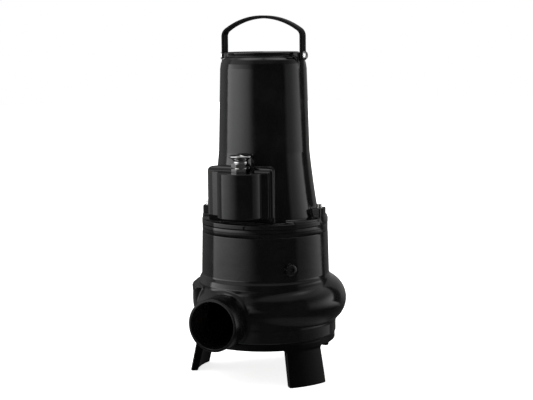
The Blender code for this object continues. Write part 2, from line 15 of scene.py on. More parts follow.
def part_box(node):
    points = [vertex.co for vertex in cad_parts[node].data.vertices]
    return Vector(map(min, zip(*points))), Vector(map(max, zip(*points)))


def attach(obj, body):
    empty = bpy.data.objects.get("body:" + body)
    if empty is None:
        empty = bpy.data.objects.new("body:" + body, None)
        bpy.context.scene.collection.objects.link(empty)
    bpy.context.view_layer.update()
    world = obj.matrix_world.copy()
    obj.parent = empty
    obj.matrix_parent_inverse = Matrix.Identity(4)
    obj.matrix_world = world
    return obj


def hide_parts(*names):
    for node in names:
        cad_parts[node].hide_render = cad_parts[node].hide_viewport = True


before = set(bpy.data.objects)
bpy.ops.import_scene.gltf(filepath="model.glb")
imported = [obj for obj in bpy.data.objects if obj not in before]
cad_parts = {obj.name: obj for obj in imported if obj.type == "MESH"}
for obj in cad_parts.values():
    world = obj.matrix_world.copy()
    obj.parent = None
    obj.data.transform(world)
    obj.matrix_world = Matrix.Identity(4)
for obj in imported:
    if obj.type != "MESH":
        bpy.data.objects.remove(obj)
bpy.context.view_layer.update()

MM = 0.001
SHAFT_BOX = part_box("shaft")
AXIS = (SHAFT_BOX[0] + SHAFT_BOX[1]) / 2 / MM

# Grid of the castings: turns all round, and how much coarser a draft is
TURNS = 336
COARSENESS = 1.0


def low(node, axis):
    """Lowest coordinate of a CAD node in millimetres from the pump axis and the floor."""
    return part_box(node)[0][axis] / MM - (AXIS[axis] if axis < 2 else 0)


def high(node, axis):
    """Highest coordinate of a CAD node, measured the same way."""
    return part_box(node)[1][axis] / MM - (AXIS[axis] if axis < 2 else 0)


# Heights and radii that the castings share with their neighbours, read from the frame
COVER_TOP = high("top_cover", 2)
COVER_JOINT = low("top_cover", 2)
COVER_R = high("top_cover", 0)
MOTOR_JOINT = low("motor_housing", 2)
FLANGE_R = high("intermediate_ring", 0)
RING_TOP = high("intermediate_ring", 2)
RING_LOW = low("intermediate_ring", 2)
OIL_JOINT = high("pump_casing", 2)
OUTLET_FACE_Y = low("pump_casing", 1)
HANDLE_TOP = high("lifting_handle", 2)
HANDLE_HALF_SPAN = high("lifting_handle", 0)
HANDLE_FOOT = low("lifting_handle", 2)
GLAND_SEAT = low("gland_base", 2)

# Casings: closed profiles start at this radius, past the axis, and cutters end beyond every casting
AXIS_SIDE = -60.0
BEYOND = 130.0
CASING_NECK_R = 115.4
CASING_R = 120.6
CASING_RIM_R = 121.2
SUCTION_JOINT = 73.0
RIM_R = 119.5
CHAMBER_R = 104.0
CHAMBER_TOP = 157.0
SUCTION_FACE = 61.0
INLET_R = 47.0
RING_R = 41.0

# Volute passage
VOLUTE_Z = 129.0
VOLUTE_SECTION = 44.0
VOLUTE_WALL = 11.0
VOLUTE_FLATTER = 0.97
VOLUTE_START_R = 77.5
VOLUTE_GROWTH = 26.5
VOLUTE_START = 10.0
VOLUTE_WIDEST = 230.0
VOLUTE_END = 322.0
VOLUTE_FILLET = 4.0
END_BLOCK_ANGLE = -71.0
END_BLOCK_HALF_ARC = 60.0
END_BLOCK_R = 127.6
END_BLOCK_LEAN = 0.1
END_BLOCK_LOW = 104.0
END_BLOCK_TOP = 157.0
END_FLAT_START = 225.0
END_FLAT_FULL = 262.0

# Outlet
OUTLET_X = -17.0
OUTLET_Z = 110.0
OUTLET_R = 44.4
OUTLET_BORE_R = 39.5
COLLAR_Y = -119.0
NECK_FILLET = 7.0

# Terminal box and gland
BOX_HALF_WIDTH = 64.6
BOX_MIDDLE = -3.6
BOX_EDGE = 8.0
BOX_UNDERCUT = 0.27
ROOM_HALF_WIDTH = BOX_HALF_WIDTH - 2.5
ROOM_LOW = 271.6
BOX_FRONT_Y = -87.0
BOX_BACK_Y = -40.0
BOX_TAPER = 0.45
BOX_LOW = 266.0
BOX_TOP = 365.2
COVER_HALF_WIDTH = 52.8
COVER_FRONT_Y = -91.2
COVER_LOW = 282.0
COVER_HIGH = 357.2
COVER_SLOPE = 5.0
BOSS_R = 39.5
GLAND_X = 3.0
GLAND_Y = -93.0
GLAND_RECESS_R = 21.0
GLAND_HEXAGON = 27.0
GLAND_WAY_R = 9.6

# Handle
HANDLE_BAR = 5.0
HANDLE_WIDTH = 16.5
HANDLE_ARCH_R = 123.0
HANDLE_CORNER_R = 16.0
HANDLE_BOLT_Z = 548.0
PAD_FACE_X = 71.4
PAD_HALF_WIDTH = 11.0
PAD_LOW = 530.0
PAD_TOP = 553.0

# Flange, screws and feet
FLANGE_TOP = 271.0
GROOVE_Z = 256.7
RAISED_HALF_ARC = 68.0
RAISED_R = 107.4
RAISED_TOP = 275.0
LUGS = (("right", 94.0), ("left", -76.0), ("rear", 185.0))
LUG_ARC = 14.2
LUG_TOP = 291.5
LUG_SCREW_R = 100.0
OIL_PLUG_ANGLE = 49.3
OIL_PLUG_Z = 195.0
OIL_PLUG_R = 108.5
PLUG_FACE_R = 12.0
PLUG_FACE_DEPTH = 108.6
BASE_BOLT_R = 111.0
BASE_BOLT_ANGLE = 92.0
NOTCH_ANGLE = 8.7
NOTCH_R = 1.7
NOTCH_TOP = 268.5
FOOT_ANGLES = (60.0, -79.0, 174.0)
FOOT_TOP_HALF = 17.1
FOOT_LOW_HALF = 16.3
FOOT_TOP_R = 120.2
FOOT_SPLAY = 12.6
FOOT_THICKNESS = 15.5
FOOT_TAPER = 3.0
FOOT_HALF_ARC = 36.0
FOOT_HALF_DEPTH = 7.0

# Camera, as the photograph was taken
CAMERA_AZIMUTH = 27.0
CAMERA_DISTANCE = 2300.0
CAMERA_HEIGHT = 590.0
AIM_HEIGHT = 300.0
AIM_SIDE = 2.9
CAMERA_ROLL = -0.6
IMAGE_WIDTH = 533
FOCAL_PIXELS = 1345.0
SENSOR = 36.0

# Studio
LAMP_POWER = 2.2
GLOOM = 0.06


# Distance fields, negative inside the metal

def join(a, b, fillet):
    """Two solids in one, with a fillet where they meet."""
    near = np.maximum(fillet - np.abs(a - b), 0.0) / fillet
    return np.minimum(a, b) - near * near * fillet / 4


def cut(a, b, edge):
    """The first solid without the second, with a rounded edge."""
    return -join(-a, b, edge)


def wrapped(turn):
    """The same turn between minus half a circle and plus half a circle."""
    return (turn + math.pi) % math.tau - math.pi


def block(places, lows, highs, edge):
    """Box with rounded edges in any three coordinates."""
    gaps = []
    for place, start, end in zip(places, lows, highs):
        gaps.append(np.abs(place - (start + end) / 2) - (end - start) / 2 + edge)
    outside = np.sqrt(sum(np.maximum(gap, 0.0) ** 2 for gap in gaps))
    deepest = np.maximum(np.maximum(gaps[0], gaps[1]), gaps[2])
    return outside + np.minimum(deepest, 0.0) - edge


def rod(across, along, radius, start, end, edge):
    """Round bar, from the distance to its middle line and the place along it."""
    side = across - radius + edge
    ends = np.abs(along - (start + end) / 2) - (end - start) / 2 + edge
    outside = np.sqrt(np.maximum(side, 0.0) ** 2 + np.maximum(ends, 0.0) ** 2)
    return outside + np.minimum(np.maximum(side, ends), 0.0) - edge


def softened(points, radius, pieces=5):
    """Profile with each inner corner rounded, by less where its sides are short."""
    path = [np.array(points[0], float)]
    for before, corner, after in zip(points, points[1:], points[2:]):
        middle = np.array(corner, float)
        back = np.array(before, float) - middle
        ahead = np.array(after, float) - middle
        sides = np.linalg.norm(back), np.linalg.norm(ahead)
        back /= sides[0]
        ahead /= sides[1]
        half = math.acos(max(-1.0, min(1.0, float(back @ ahead)))) / 2
        reach = min(radius / max(math.tan(half), 0.05), 0.48 * sides[0], 0.48 * sides[1])
        if half > 1.55:
            path.append(middle)
            continue
        for i in range(pieces + 1):
            part = i / pieces
            path.append(middle + back * reach * (1 - part) ** 2 + ahead * reach * part**2)
    path.append(np.array(points[-1], float))
    return path


def turned_field(profile):
    """Distance to the solid that a closed profile of radius and height pairs turns out."""
    loop = np.array(profile)

    def distance(r, z):
        r, z = np.broadcast_arrays(r, z)
        nearest = np.full(r.shape, np.inf)
        inside = np.zeros(r.shape, bool)
        for (ra, za), (rb, zb) in zip(loop, np.roll(loop, -1, axis=0)):
            dr = rb - ra
            dz = zb - za
            part = np.clip(((r - ra) * dr + (z - za) * dz) / (dr * dr + dz * dz), 0, 1)
            nearest = np.minimum(nearest, (r - ra - part * dr) ** 2 + (z - za - part * dz) ** 2)
            if zb != za:
                inside ^= ((za > z) != (zb > z)) & (r < ra + (z - za) * dr / dz)
        return np.where(inside, -1.0, 1.0) * np.sqrt(nearest)

    return distance


def spaced(*stretches):
    """Grid places from stretches of start, end and step."""
    places = []
    for start, end, step in stretches:
        count = max(2, round((end - start) / (step * COARSENESS)) + 1)
        places.append(np.linspace(start, end, count)[:-1])
    return np.concatenate(places + [[stretches[-1][1]]])


# Meshes

def to_frame(points):
    """Millimetres from the pump axis to the row frame in metres."""
    return (np.asarray(points, float) + (AXIS[0], AXIS[1], 0.0)) * MM


def finish_piece(name, shape, material, replaced):
    """Turns a bmesh in the row frame into a piece of the pump."""
    mesh = bpy.data.meshes.new(name)
    shape.to_mesh(mesh)
    shape.free()
    piece = bpy.data.objects.new(name, mesh)
    bpy.context.scene.collection.objects.link(piece)
    mesh.materials.append(material)
    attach(piece, "root")
    if replaced:
        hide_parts(*replaced)
    return piece


def net(field, radii, turns, heights):
    """Corners and four-sided faces of the surface where a field of radius, turn and height is zero."""
    cells = (len(radii) - 1, len(turns), len(heights) - 1)
    value = field(radii[:, None, None], turns[None, :, None], heights[None, None, :])
    value = np.broadcast_to(value, (len(radii), len(turns), len(heights)))
    value = np.concatenate([value, value[:, :1]], axis=1)
    solid = value < 0

    def at(grid, corner):
        return grid[tuple(slice(c, c + n) for c, n in zip(corner, cells))]

    corners = list(itertools.product((0, 1), repeat=3))
    filled = sum(at(solid, corner).astype(np.int8) for corner in corners)
    active = (filled > 0) & (filled < 8)
    number = np.full(cells, -1)
    number[active] = np.arange(np.count_nonzero(active))
    total = np.zeros((np.count_nonzero(active), 3))
    hits = np.zeros(len(total))
    for first, axis in itertools.product(corners, range(3)):
        if first[axis]:
            continue
        second = tuple(1 if k == axis else first[k] for k in range(3))
        here = at(value, first)[active]
        there = at(value, second)[active]
        crossing = (here < 0) != (there < 0)
        part = np.zeros(len(here))
        part[crossing] = here[crossing] / (here[crossing] - there[crossing])
        total[crossing] += first
        total[crossing, axis] += part[crossing]
        hits += crossing
    place = np.argwhere(active) + total / hits[:, None]
    closed = np.append(turns, turns[0] + math.tau)
    r = np.interp(place[:, 0], np.arange(len(radii)), radii)
    t = np.interp(place[:, 1], np.arange(len(closed)), closed)
    z = np.interp(place[:, 2], np.arange(len(heights)), heights)

    faces = []
    for axis in range(3):
        others = (axis + 1) % 3, (axis + 2) % 3
        step = [0, 0, 0]
        step[axis] = 1
        size = [len(radii), len(turns), len(heights)]
        if axis != 1:
            size[axis] -= 1
        near = solid[tuple(slice(0, n) for n in size)]
        far = solid[tuple(slice(s, s + n) for s, n in zip(step, size))]
        edges = np.argwhere(near != far)
        for other in others:
            if other != 1:
                edges = edges[(edges[:, other] > 0) & (edges[:, other] < cells[other])]
        quad = []
        for back in ((1, 1), (0, 1), (0, 0), (1, 0)):
            cell = edges.copy()
            cell[:, others[0]] -= back[0]
            cell[:, others[1]] -= back[1]
            cell[:, 1] %= cells[1]
            quad.append(number[tuple(cell.T)])
        quad = np.stack(quad, axis=1)
        outward = near[tuple(edges.T)]
        quad[~outward] = quad[~outward][:, ::-1]
        faces.append(quad)
    return np.stack([r * np.sin(t), -r * np.cos(t), z], axis=1), np.concatenate(faces)


def slope(field, points, step):
    """Value and gradient of a field at points in x, y and z."""

    def value(shifted):
        x, y, z = shifted.T
        return field(np.hypot(x, y), np.arctan2(x, -y), z)

    grown = [value(points + np.eye(3)[axis] * step) for axis in range(3)]
    shrunk = [value(points - np.eye(3)[axis] * step) for axis in range(3)]
    return value(points), (np.array(grown) - np.array(shrunk)).T / (2 * step)


def casting(name, field, radii, heights, material, node):
    """Cast piece whose surface is the zero of a field, with fillets as smooth as the field is."""
    count = round(TURNS / COARSENESS)
    points, faces = net(field, radii, np.arange(count) * math.tau / count, heights)
    for _ in range(4):
        value, lean = slope(field, points, 0.02)
        steep = np.maximum((lean**2).sum(axis=1), 0.05)
        move = -lean * (value / steep)[:, None]
        length = np.linalg.norm(move, axis=1, keepdims=True)
        points = points + move * np.minimum(1.0, 1.5 / np.maximum(length, 1e-9))
    mesh = bpy.data.meshes.new(name)
    mesh.from_pydata(points, [], faces.tolist())
    shape = bmesh.new()
    shape.from_mesh(mesh)
    bpy.data.meshes.remove(mesh)
    bmesh.ops.remove_doubles(shape, verts=shape.verts, dist=0.12)
    rim = [edge for edge in shape.edges if edge.is_boundary]
    bmesh.ops.holes_fill(shape, edges=rim, sides=0)
    corners = np.array([corner.co for corner in shape.verts])
    for corner, place in zip(shape.verts, to_frame(corners)):
        corner.co = place
    piece = finish_piece(name, shape, material, [node])
    lean = slope(field, corners, 0.25)[1]
    lean /= np.maximum(np.linalg.norm(lean, axis=1, keepdims=True), 1e-9)
    piece.data.shade_smooth()
    piece.data.normals_split_custom_set_from_vertices(lean.tolist())


def along_axis(place, direction=(0, 0, 1)):
    """Matrix that stands a shape, built up its own Z, at a place along a direction."""
    turn = Vector(direction).to_track_quat("Z", "Y").to_matrix().to_4x4()
    return Matrix.Translation(Vector(place)) @ turn


def turned(name, profile, material, replaced, place=Matrix(), steps=160, sharp=38.0):
    """Turned piece from a profile of radius and height pairs, outer side from top to bottom."""
    shape = bmesh.new()
    line = [shape.verts.new((r, 0.0, z)) for r, z in profile]
    edges = [shape.edges.new(pair) for pair in zip(line, line[1:])]
    bmesh.ops.spin(shape, geom=line + edges, cent=(0, 0, 0), axis=(0, 0, 1), angle=math.tau, steps=steps)
    bmesh.ops.remove_doubles(shape, verts=shape.verts, dist=0.002)
    sharpened(seat(name, shape, place, material, replaced), sharp)


def seat(name, shape, place, material, replaced):
    """Places a shape built in millimetres, with its faces turned outwards."""
    bmesh.ops.recalc_face_normals(shape, faces=shape.faces)
    shape.transform(place)
    for corner, spot in zip(shape.verts, to_frame([corner.co for corner in shape.verts])):
        corner.co = spot
    return finish_piece(name, shape, material, replaced)


def sharpened(piece, angle):
    """Shades a piece smooth, apart from edges that are sharper than the angle."""
    piece.data.shade_smooth()
    piece.data.set_sharp_from_angle(angle=math.radians(angle))


def bevelled(piece, width, segments, angle):
    """Rounds the edges of a piece that are sharper than the angle."""
    modifier = piece.modifiers.new("edges", "BEVEL")
    modifier.width = width * MM
    modifier.segments = segments
    modifier.limit_method = "ANGLE"
    modifier.angle_limit = math.radians(angle)
    modifier.harden_normals = True
    return piece


def loft(rings, looped=False):
    """Skin over rings of equal length, capped at both ends or looped from the last to the first."""
    shape = bmesh.new()
    rows = [[shape.verts.new(point) for point in ring] for ring in rings]
    count = len(rows[0])
    for first, second in zip(rows, rows[1:] + rows[:1] if looped else rows[1:]):
        for i in range(count):
            j = (i + 1) % count
            shape.faces.new((first[i], first[j], second[j], second[i]))
    if not looped:
        shape.faces.new(rows[0])
        shape.faces.new(list(reversed(rows[-1])))
    return shape


def bored_hexagon(across, start, end, chamfers, bore, count=96):
    """Hexagon with a round bore, its corners turned off at the lower end, the upper end or both."""
    depth = 0.09 * across
    heights = [start + depth * i / 6 for i in range(7)]
    heights += [end - depth * (6 - i) / 6 for i in range(7)]
    rings = []
    for z in heights:
        ring = []
        for i in range(count):
            turn = math.tau * i / count
            flat = across / 2 / math.cos((turn + math.pi / 6) % (math.pi / 3) - math.pi / 6)
            grown = min(z - start if chamfers[0] else depth, end - z if chamfers[1] else depth)
            cone = 0.485 * across + grown * math.sqrt(3.0)
            radius = min(flat, cone)
            ring.append((radius * math.cos(turn), radius * math.sin(turn), z))
        rings.append(ring)
    turns = [math.tau * i / count for i in range(count)]
    for z in (end, start):
        rings.append([(bore * math.cos(turn), bore * math.sin(turn), z) for turn in turns])
    return loft(rings, looped=True)


# Castings of the pump

def motor_field(r, t, z):
    """Motor shell with its flange, terminal box, handle pads and screw lugs."""
    x = r * np.sin(t)
    y = -r * np.cos(t)
    metal = MOTOR_SHELL(r, z)
    forward = y - np.maximum(COVER_LOW - z, 0.0) * BOX_UNDERCUT
    nearest = (-ROOM_HALF_WIDTH, -BEYOND, ROOM_LOW)
    room = block((x, forward, z), nearest, (ROOM_HALF_WIDTH, BOX_FRONT_Y + 1, BOX_TOP), 0.5)
    metal = np.maximum(metal, -room)
    slant = math.hypot(1.0, BOX_TAPER)
    across = (np.abs(x - BOX_MIDDLE) + BOX_TAPER * (y - BOX_FRONT_Y)) / slant
    half = BOX_HALF_WIDTH / slant
    nearest = (-half, BOX_FRONT_Y, BOX_LOW)
    front = block((across, forward, z), nearest, (half, BOX_BACK_Y, BOX_TOP), BOX_EDGE)
    metal = join(metal, front, 1.5)
    gland = rod(np.hypot(x - GLAND_X, y - GLAND_Y), z, GLAND_RECESS_R, COVER_HIGH, BOX_TOP + 20, 0.5)
    metal = cut(metal, gland, 1.5)
    for side in (-1, 1):
        nearest = (60.0, -PAD_HALF_WIDTH, PAD_LOW)
        pad = block((side * x, y, z), nearest, (PAD_FACE_X, PAD_HALF_WIDTH, PAD_TOP), 1.8)
        metal = join(metal, pad, 3.5)
        arc = r * wrapped(t - side * math.pi / 2)
        nearest = (-RAISED_HALF_ARC, 84, 262)
        raised = block((arc, r, z), nearest, (RAISED_HALF_ARC, RAISED_R, RAISED_TOP), 1.4)
        metal = join(metal, raised, 2.5)
    for _, angle in LUGS:
        arc = r * wrapped(t - math.radians(angle))
        lug = block((arc, r, z), (-LUG_ARC, 78, BOX_LOW), (LUG_ARC, FLANGE_R - 0.3, LUG_TOP), 1.8)
        metal = join(metal, lug, 4.0)
    turn = math.radians(NOTCH_ANGLE)
    notch = np.hypot(x - FLANGE_R * math.sin(turn), y + FLANGE_R * math.cos(turn))
    return cut(metal, rod(notch, z, NOTCH_R, 250, NOTCH_TOP, 0.4), 0.6)


def volute_middle(t):
    """Radius of the middle of the volute passage."""
    angle = np.degrees(t) % 360.0
    rising = np.clip((angle - VOLUTE_START) / (VOLUTE_WIDEST - VOLUTE_START), 0, 1)
    falling = np.clip((angle - VOLUTE_WIDEST) / (VOLUTE_END - VOLUTE_WIDEST), 0, 1)
    before = np.sin(math.pi / 2 * rising)
    after = np.cos(math.pi / 2 * falling) ** 2
    return VOLUTE_START_R + VOLUTE_GROWTH * np.where(angle <= VOLUTE_WIDEST, before, after)


def volute_field(r, t, z, half):
    """Spiral passage, squarer on the side that leads to the outlet."""
    turning = np.clip((np.degrees(t) % 360.0 - 150.0) * 1.9, 0, 360)
    power = 2.6 - 0.6 * np.cos(np.radians(turning))
    out = np.abs(r - volute_middle(t)) / half
    up = np.abs(z - VOLUTE_Z) / (half * VOLUTE_FLATTER)
    return ((out**power + up**power) ** (1 / power) - 1) * half


def end_flat(t):
    """Height that cuts the volute flat, falling to the top of the block where the spiral ends."""
    angle = np.degrees(t) % 360.0
    part = np.clip((angle - END_FLAT_START) / (END_FLAT_FULL - END_FLAT_START), 0, 1)
    full = VOLUTE_Z + VOLUTE_SECTION
    return full + (END_BLOCK_TOP - full) * part


def passage(sections, x, y, z):
    """Distance to a passage along Y. Each section has y, x, z, half width, half height and squareness."""
    table = np.array(sections)
    middle_x, middle_z, half_x, half_z, power = (
        np.polyval(np.polyfit(table[:, 0], table[:, k], 3), np.clip(y, table[-1, 0], table[0, 0]))
        for k in range(1, 6)
    )
    across = np.abs(x - middle_x) / half_x
    up = np.abs(z - middle_z) / half_z
    side = ((across**power + up**power) ** (1 / power) - 1) * np.minimum(half_x, half_z)
    return np.maximum(side, np.maximum(y - table[0, 0], table[-1, 0] - y))


NECK = ((-42, -43, 121, 57, 41, 2.6), (-74, -40, 119, 56, 42.4, 2.4), (-98, -30, 115, 50, 43.6, 2.15))
NECK += ((-114, -20, 111.4, 45.4, 43.6, 2), (-124, -17, 110, 42.6, 42.6, 2))
WATER_WAY = ((-30, -44, 120, 46, 31, 2.6), (-74, -36, 118, 43, 33, 2.4), (-98, -24, 113.5, 40, 36.5, 2.15))
WATER_WAY += ((-116, -17.6, 110.8, 39.5, 38.8, 2), (-130, -17, 110, 39.5, 39.5, 2))


def casing_field(r, t, z):
    """Oil housing and volute in one casting, hollow below, with the neck of the outlet."""
    x = r * np.sin(t)
    y = -r * np.cos(t)
    spiral = cut(volute_field(r, t, z, VOLUTE_SECTION), end_flat(t) - z, 3.0)
    metal = join(OIL_HOUSING(r, z), spiral, VOLUTE_FILLET)
    metal = join(metal, passage(NECK, x, y, z), NECK_FILLET)
    arc = r * wrapped(t - math.radians(END_BLOCK_ANGLE))
    leaning = r + (END_BLOCK_TOP - z) * END_BLOCK_LEAN
    nearest = (-END_BLOCK_HALF_ARC, 90, END_BLOCK_LOW)
    end = block((arc, leaning, z), nearest, (END_BLOCK_HALF_ARC, END_BLOCK_R, END_BLOCK_TOP), 2.4)
    metal = join(metal, end, 1.5)
    metal = np.maximum(metal, SUCTION_JOINT - z)
    metal = cut(metal, rod(r, z, CHAMBER_R, 20, CHAMBER_TOP, 3.0), 2.0)
    metal = cut(metal, volute_field(r, t, z, VOLUTE_SECTION - VOLUTE_WALL), 3.0)
    metal = cut(metal, passage(WATER_WAY, x, y, z), 3.0)
    for side in (0.0, 180.0):
        turn = t - math.radians(OIL_PLUG_ANGLE + side)
        face = np.hypot(r * np.sin(turn), z - OIL_PLUG_Z)
        outward = r * np.cos(turn)
        metal = cut(metal, rod(face, outward, PLUG_FACE_R, PLUG_FACE_DEPTH, BEYOND, 0.6), 1.0)
    return metal


def cover_field(r, t, z):
    """Suction cover with the inlet and its three splayed feet."""
    metal = SUCTION_DISC(r, z)
    lean = np.maximum(1 - z / SUCTION_FACE, 0.0)
    outer = FOOT_TOP_R + FOOT_SPLAY * lean
    thick = FOOT_THICKNESS - FOOT_TAPER * lean
    for angle in FOOT_ANGLES:
        arc = r * wrapped(t - math.radians(angle))
        half = r * np.radians(FOOT_TOP_HALF + (FOOT_LOW_HALF - FOOT_TOP_HALF) * lean)
        depth = (r - outer + thick / 2) / (thick / 2)
        place = (arc / half * FOOT_HALF_ARC, depth * FOOT_HALF_DEPTH, z)
        nearest = (-FOOT_HALF_ARC, -FOOT_HALF_DEPTH, 0)
        foot = block(place, nearest, (FOOT_HALF_ARC, FOOT_HALF_DEPTH, SUCTION_JOINT - 1.5), 2.6)
        metal = join(metal, foot, 5.0)
    return metal


def make_castings():
    """Motor housing, pump casing and suction cover, replacing their plain solids."""
    radii = spaced((24, 56, 8), (56, 112, 1.6))
    under_cover = COVER_JOINT - 6
    heights = spaced((MOTOR_JOINT - 1, 276, 0.55), (276, under_cover, 2.1), (under_cover, 558, 0.8))
    casting("motor_shell", motor_field, radii, heights, BLACK, "motor_housing")
    radii = spaced((20, 90, 5), (90, 150, 2.0))
    heights = spaced((SUCTION_JOINT - 1, 78, 0.6), (78, 244, 2.1), (244, OIL_JOINT + 1, 0.6))
    casting("volute_casing", casing_field, radii, heights, BLACK, "pump_casing")
    radii = spaced((45, 60, 1.2), (60, 104, 3), (104, 134, 1.5))
    heights = spaced((-1, 4, 0.7), (4, 56, 2.2), (56, 82, 0.8))
    # The suction cover and feet take the satin enamel, whose darker colour is painted shade
    casting("suction_cover_feet", cover_field, radii, heights, SATIN_SHADED, "suction_cover")


def make_outlet():
    """Pipe end that runs out of the neck, with a thin lip round the bore."""
    length = COLLAR_Y - OUTLET_FACE_Y
    lip = [(OUTLET_BORE_R + 0.8, length), (OUTLET_R - 1.6, length), (OUTLET_R - 0.9, length - 0.3)]
    lip += [(OUTLET_R - 0.3, length - 0.9), (OUTLET_R, length - 1.8), (OUTLET_R, 1.6)]
    lip += [(OUTLET_R - 0.4, 0.5), (OUTLET_R - 1.4, 0.0), (OUTLET_R - 3, 0.0)]
    lip += [(OUTLET_BORE_R, -12.0), (OUTLET_BORE_R, length - 0.8), lip[0]]
    place = along_axis((OUTLET_X, COLLAR_Y, OUTLET_Z), (0, -1, 0))
    # The pipe takes a duller copy of the enamel whose slightly darker colour is painted shade
    turned("outlet_pipe", lip, PIPE_ENAMEL_SHADED, [], place)


def make_covers():
    """Round top cover and the ring between the motor and the oil housing."""
    top = [(0, COVER_TOP), (COVER_R - 2.2, COVER_TOP), (COVER_R - 0.9, COVER_TOP - 0.3)]
    top += [(COVER_R - 0.2, COVER_TOP - 1.0), (COVER_R, COVER_TOP - 1.9), (COVER_R, COVER_JOINT + 1.2)]
    top += [(COVER_R - 0.7, COVER_JOINT), (0, COVER_JOINT)]
    turned("cover_plate", top, BLACK, ["top_cover"])
    ring = [(20, RING_TOP), (FLANGE_R - 0.9, RING_TOP), (FLANGE_R - 0.2, RING_TOP - 0.3)]
    ring += [(FLANGE_R, RING_TOP - 1.0), (FLANGE_R, GROOVE_Z + 0.6), (FLANGE_R - 0.7, GROOVE_Z + 0.2)]
    ring += [(FLANGE_R - 0.7, GROOVE_Z - 0.2), (FLANGE_R, GROOVE_Z - 0.6), (FLANGE_R, RING_LOW + 1.0)]
    ring += [(FLANGE_R - 0.2, RING_LOW + 0.3), (FLANGE_R - 0.9, RING_LOW), (20, RING_LOW)]
    ring.append(ring[0])
    turned("joint_ring", ring, BLACK, ["intermediate_ring"], steps=256)


def make_handle():
    """Flat bar bent over the top, lofted along its middle line."""
    arch_z = HANDLE_TOP - HANDLE_ARCH_R
    corner_x = HANDLE_HALF_SPAN - HANDLE_CORNER_R
    corner_z = arch_z + math.sqrt((HANDLE_ARCH_R - HANDLE_CORNER_R) ** 2 - corner_x**2)
    meet = math.atan2(corner_z - arch_z, corner_x)
    inset = HANDLE_BAR / 2
    leg = HANDLE_HALF_SPAN - inset
    line = [(leg, HANDLE_FOOT + 0.02, 0.0), (leg, HANDLE_FOOT + 4, 0.0), (leg, corner_z - 4, 0.0)]
    for i in range(17):
        turn = meet * i / 16
        reach = HANDLE_CORNER_R - inset
        line.append((corner_x + reach * math.cos(turn), corner_z + reach * math.sin(turn), turn))
    for i in range(1, 25):
        turn = meet + (math.pi / 2 - meet) * i / 24
        reach = HANDLE_ARCH_R - inset
        line.append((reach * math.cos(turn), arch_z + reach * math.sin(turn), turn))
    line += [(-x, z, math.pi - turn) for x, z, turn in reversed(line[:-1])]
    rings = []
    for x, z, turn in line:
        ring = []
        for out, side in rounded_rectangle(HANDLE_BAR, HANDLE_WIDTH, 1.1):
            ring.append((x + out * math.cos(turn), side, z + out * math.sin(turn)))
        rings.append(ring)
    # The bar takes the satin enamel, whose darker colour is painted shade
    piece = seat("bar_handle", loft(rings), Matrix(), SATIN_SHADED, ["lifting_handle"])
    sharpened(piece, 40.0)


def rounded_rectangle(width, height, radius, pieces=3):
    """Corners round a rectangle that is centred on the middle line of the bar."""
    corners = []
    for quarter, (sx, sy) in enumerate(((1, 1), (-1, 1), (-1, -1), (1, -1))):
        for i in range(pieces + 1):
            turn = math.pi / 2 * (quarter + i / pieces)
            x = sx * (width / 2 - radius) + radius * math.cos(turn)
            corners.append((x, sy * (height / 2 - radius) + radius * math.sin(turn)))
    return corners


def make_terminal_cover():
    """Cover of the terminal box, a plate with a half round boss under the gland."""
    back = BOX_FRONT_Y - 0.3
    meet = math.asin((GLAND_Y - COVER_FRONT_Y + COVER_SLOPE) / BOSS_R)
    boss = []
    for i in range(41):
        turn = -meet - (math.pi - 2 * meet) * i / 40
        boss.append((GLAND_X + BOSS_R * math.cos(turn), GLAND_Y + BOSS_R * math.sin(turn)))
    ends = []
    for side, near in ((1, boss[:2]), (-1, [boss[-1], boss[-2]])):
        edge = side * COVER_HALF_WIDTH
        ends.append(softened([(edge, back), (edge, COVER_FRONT_Y), *near], 1.6, 4)[:-1])
    outline = [*ends[0], *boss[1:-1], *reversed(ends[1])]
    shape = loft([[(x, y, z) for x, y in outline] for z in (COVER_LOW, COVER_HIGH)])
    piece = seat("gland_cover", shape, Matrix(), BLACK, ["terminal_cover"])
    sharpened(bevelled(piece, 2.0, 4, 50.0), 38.0)


def make_gland():
    """Bright cable gland: a hexagon in the boss, a second one that flares into a bell, and the seal."""
    seat_z = GLAND_SEAT
    place = along_axis((GLAND_X, GLAND_Y, 0))
    base = bored_hexagon(GLAND_HEXAGON, seat_z, seat_z + 6.5, (False, True), GLAND_WAY_R)
    sharpened(seat("gland_hexagon", base, place, CHROME, ["gland_base"]), 30.0)
    lower = seat_z + 7.2
    nut = bored_hexagon(GLAND_HEXAGON, lower, lower + 8, (True, True), 10.5)
    sharpened(seat("gland_nut_hexagon", nut, place, CHROME, []), 30.0)
    way = GLAND_WAY_R
    thread = [(way, lower + 1), (11.3, lower + 1), (11.3, seat_z + 6), (way, seat_z + 6), (way, lower + 1)]
    turned("gland_thread", thread, CHROME, [], place)
    bell = [(17.2, lower + 20.4), (18.4, lower + 20.5), (19.4, lower + 20.2), (19.9, lower + 19.5)]
    bell += [(20.0, lower + 18.7), (19.6, lower + 17.9), (18.2, lower + 16.9), (16.0, lower + 15.7)]
    bell += [(14.0, lower + 14.3), (12.8, lower + 13.0), (12.2, lower + 11.6), (12.1, lower + 10.2)]
    bell += [(12.3, lower + 9.0), (12.8, lower + 8.2), (12.9, lower + 7.0), (10.4, lower + 7.0)]
    bell += [(9.9, lower + 12.0), (10.2, lower + 14.4), (11.8, lower + 16.4), (14.4, lower + 18.2)]
    bell += [(16.4, lower + 19.6), (17.2, lower + 20.4)]
    turned("gland_bell", bell, CHROME, ["gland_nut"], place, sharp=60.0)
    ring = [(6.3, seat_z + 12.6), (8.7, seat_z + 12.6), (9.3, seat_z + 12.0), (9.3, seat_z + 2.0)]
    ring += [(5.5, seat_z + 2.0), (5.5, seat_z + 11.8), (6.3, seat_z + 12.6)]
    turned("gland_seal_ring", ring, RUBBER, ["gland_seal"], place)


# Screws, as one tree of geometry nodes

